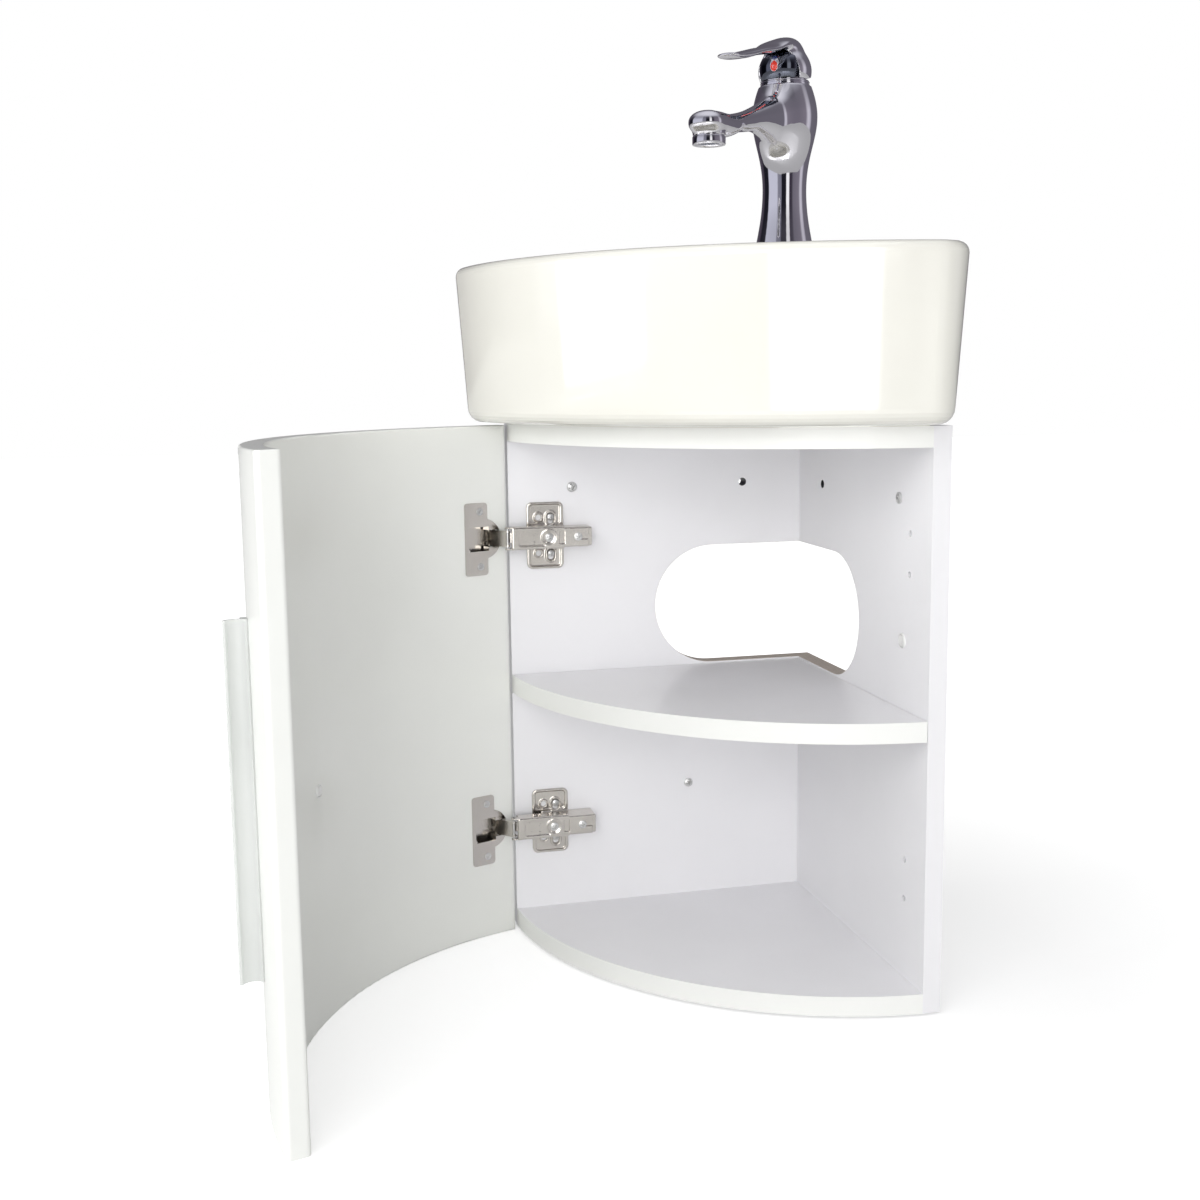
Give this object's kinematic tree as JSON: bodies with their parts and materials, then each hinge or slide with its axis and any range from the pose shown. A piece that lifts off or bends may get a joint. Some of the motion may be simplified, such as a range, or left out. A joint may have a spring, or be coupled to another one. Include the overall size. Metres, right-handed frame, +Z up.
{
  "type": "corner vanity unit",
  "caption": "Quarter-round corner vanity: wall cabinet with a curved hinged door on concealed link hinges, ceramic corner basin and single-lever mixer tap.",
  "frame": {"origin": "back corner of the cabinet's underside, where the two wall planes meet", "axes": "+Z up; the right wall lies at x = 0 and the left wall at y = 0, and the unit's front faces -X and -Y"},
  "size_m": [0.5285, 0.3796, 0.7836],
  "materials": {
    "white_board": "white melamine-faced particle board",
    "white_lacquer": "white lacquer on a moulded board",
    "satin_white_metal": "satin, painted light grey-white",
    "white_plastic": "moulded",
    "zinc_steel": "zinc plated",
    "nickel_steel": "nickel plated, pressed",
    "ivory_ceramic": "glossy white glaze",
    "rubber": "matt",
    "chrome": "polished chrome",
    "red_plastic": "glossy",
    "brass": "turned"
  },
  "bodies": {
    "carcass": {"left_panel": "white_board", "right_panel": "white_board", "bottom_board": "white_board", "shelf": "white_board", "top_board": "white_board", "shelf_pins": "zinc_steel", "assembly_screws": "zinc_steel", "wall_bolts": "zinc_steel", "low_screw": "zinc_steel", "cover_cap": "white_plastic", "lower_hinge_arm": "nickel_steel", "upper_hinge_arm": "nickel_steel", "arm_pins": "zinc_steel", "arm_screws": "zinc_steel", "lower_mounting_plate": "nickel_steel", "upper_mounting_plate": "nickel_steel", "plate_screws": "zinc_steel", "basin": "ivory_ceramic", "tap_gasket": "rubber", "tap_body": "chrome", "tap_aerator": "chrome", "tap_stud": "brass", "tap_washer": "zinc_steel", "tap_nut": "brass", "tap_cartridge": "white_plastic", "tap_bonnet": "chrome"},
    "outer_links": {"lower_outer_link": "nickel_steel", "upper_outer_link": "nickel_steel"},
    "door": {"door": "white_lacquer", "door_handle": "satin_white_metal", "handle_screws": "zinc_steel", "door_cap": "white_plastic", "lower_hinge_cup": "nickel_steel", "upper_hinge_cup": "nickel_steel", "cup_screws": "zinc_steel", "cup_pins": "zinc_steel"},
    "inner_links": {"lower_inner_link": "nickel_steel", "upper_inner_link": "nickel_steel"},
    "tap_stem": {"tap_dome": "chrome", "tap_indicator": "red_plastic", "tap_tilt_pin": "chrome"},
    "tap_lever": {"tap_spindle": "chrome", "tap_lever": "chrome"}
  },
  "joints": [
    {"name": "outer_link_turn", "type": "hinge", "parent": "carcass", "child": "outer_links", "pos_m": [-0.291, -0.033, 0.22725], "axis": [0, 0, 1], "range_deg": [-39.62, 8.57]},
    {"name": "door_swing", "type": "hinge", "parent": "outer_links", "child": "door", "pos_m": [-0.30346, -0.02026, 0.22725], "axis": [0, 0, 1], "range_deg": [-24.5, 113.77]},
    {"name": "inner_link_turn", "type": "hinge", "parent": "door", "child": "inner_links", "pos_m": [-0.29854, -0.02008, 0.22725], "axis": [0, 0, 1], "range_deg": [-100.19, 21.61]},
    {"name": "tap_swivel", "type": "hinge", "parent": "carcass", "child": "tap_stem", "pos_m": [-0.041, -0.041, 0.7575], "axis": [0, 0, 1], "range_deg": [-45, 45]},
    {"name": "tap_lift", "type": "hinge", "parent": "tap_stem", "child": "tap_lever", "pos_m": [-0.041, -0.041, 0.7575], "axis": [-0.7071, 0.7071, 0], "range_deg": [0, 15]}
  ],
  "couplings": [
    {"joint": "outer_link_turn", "follows": "door_swing", "ratio": -0.34779},
    {"joint": "inner_link_turn", "follows": "door_swing", "ratio": -0.88021}
  ]
}
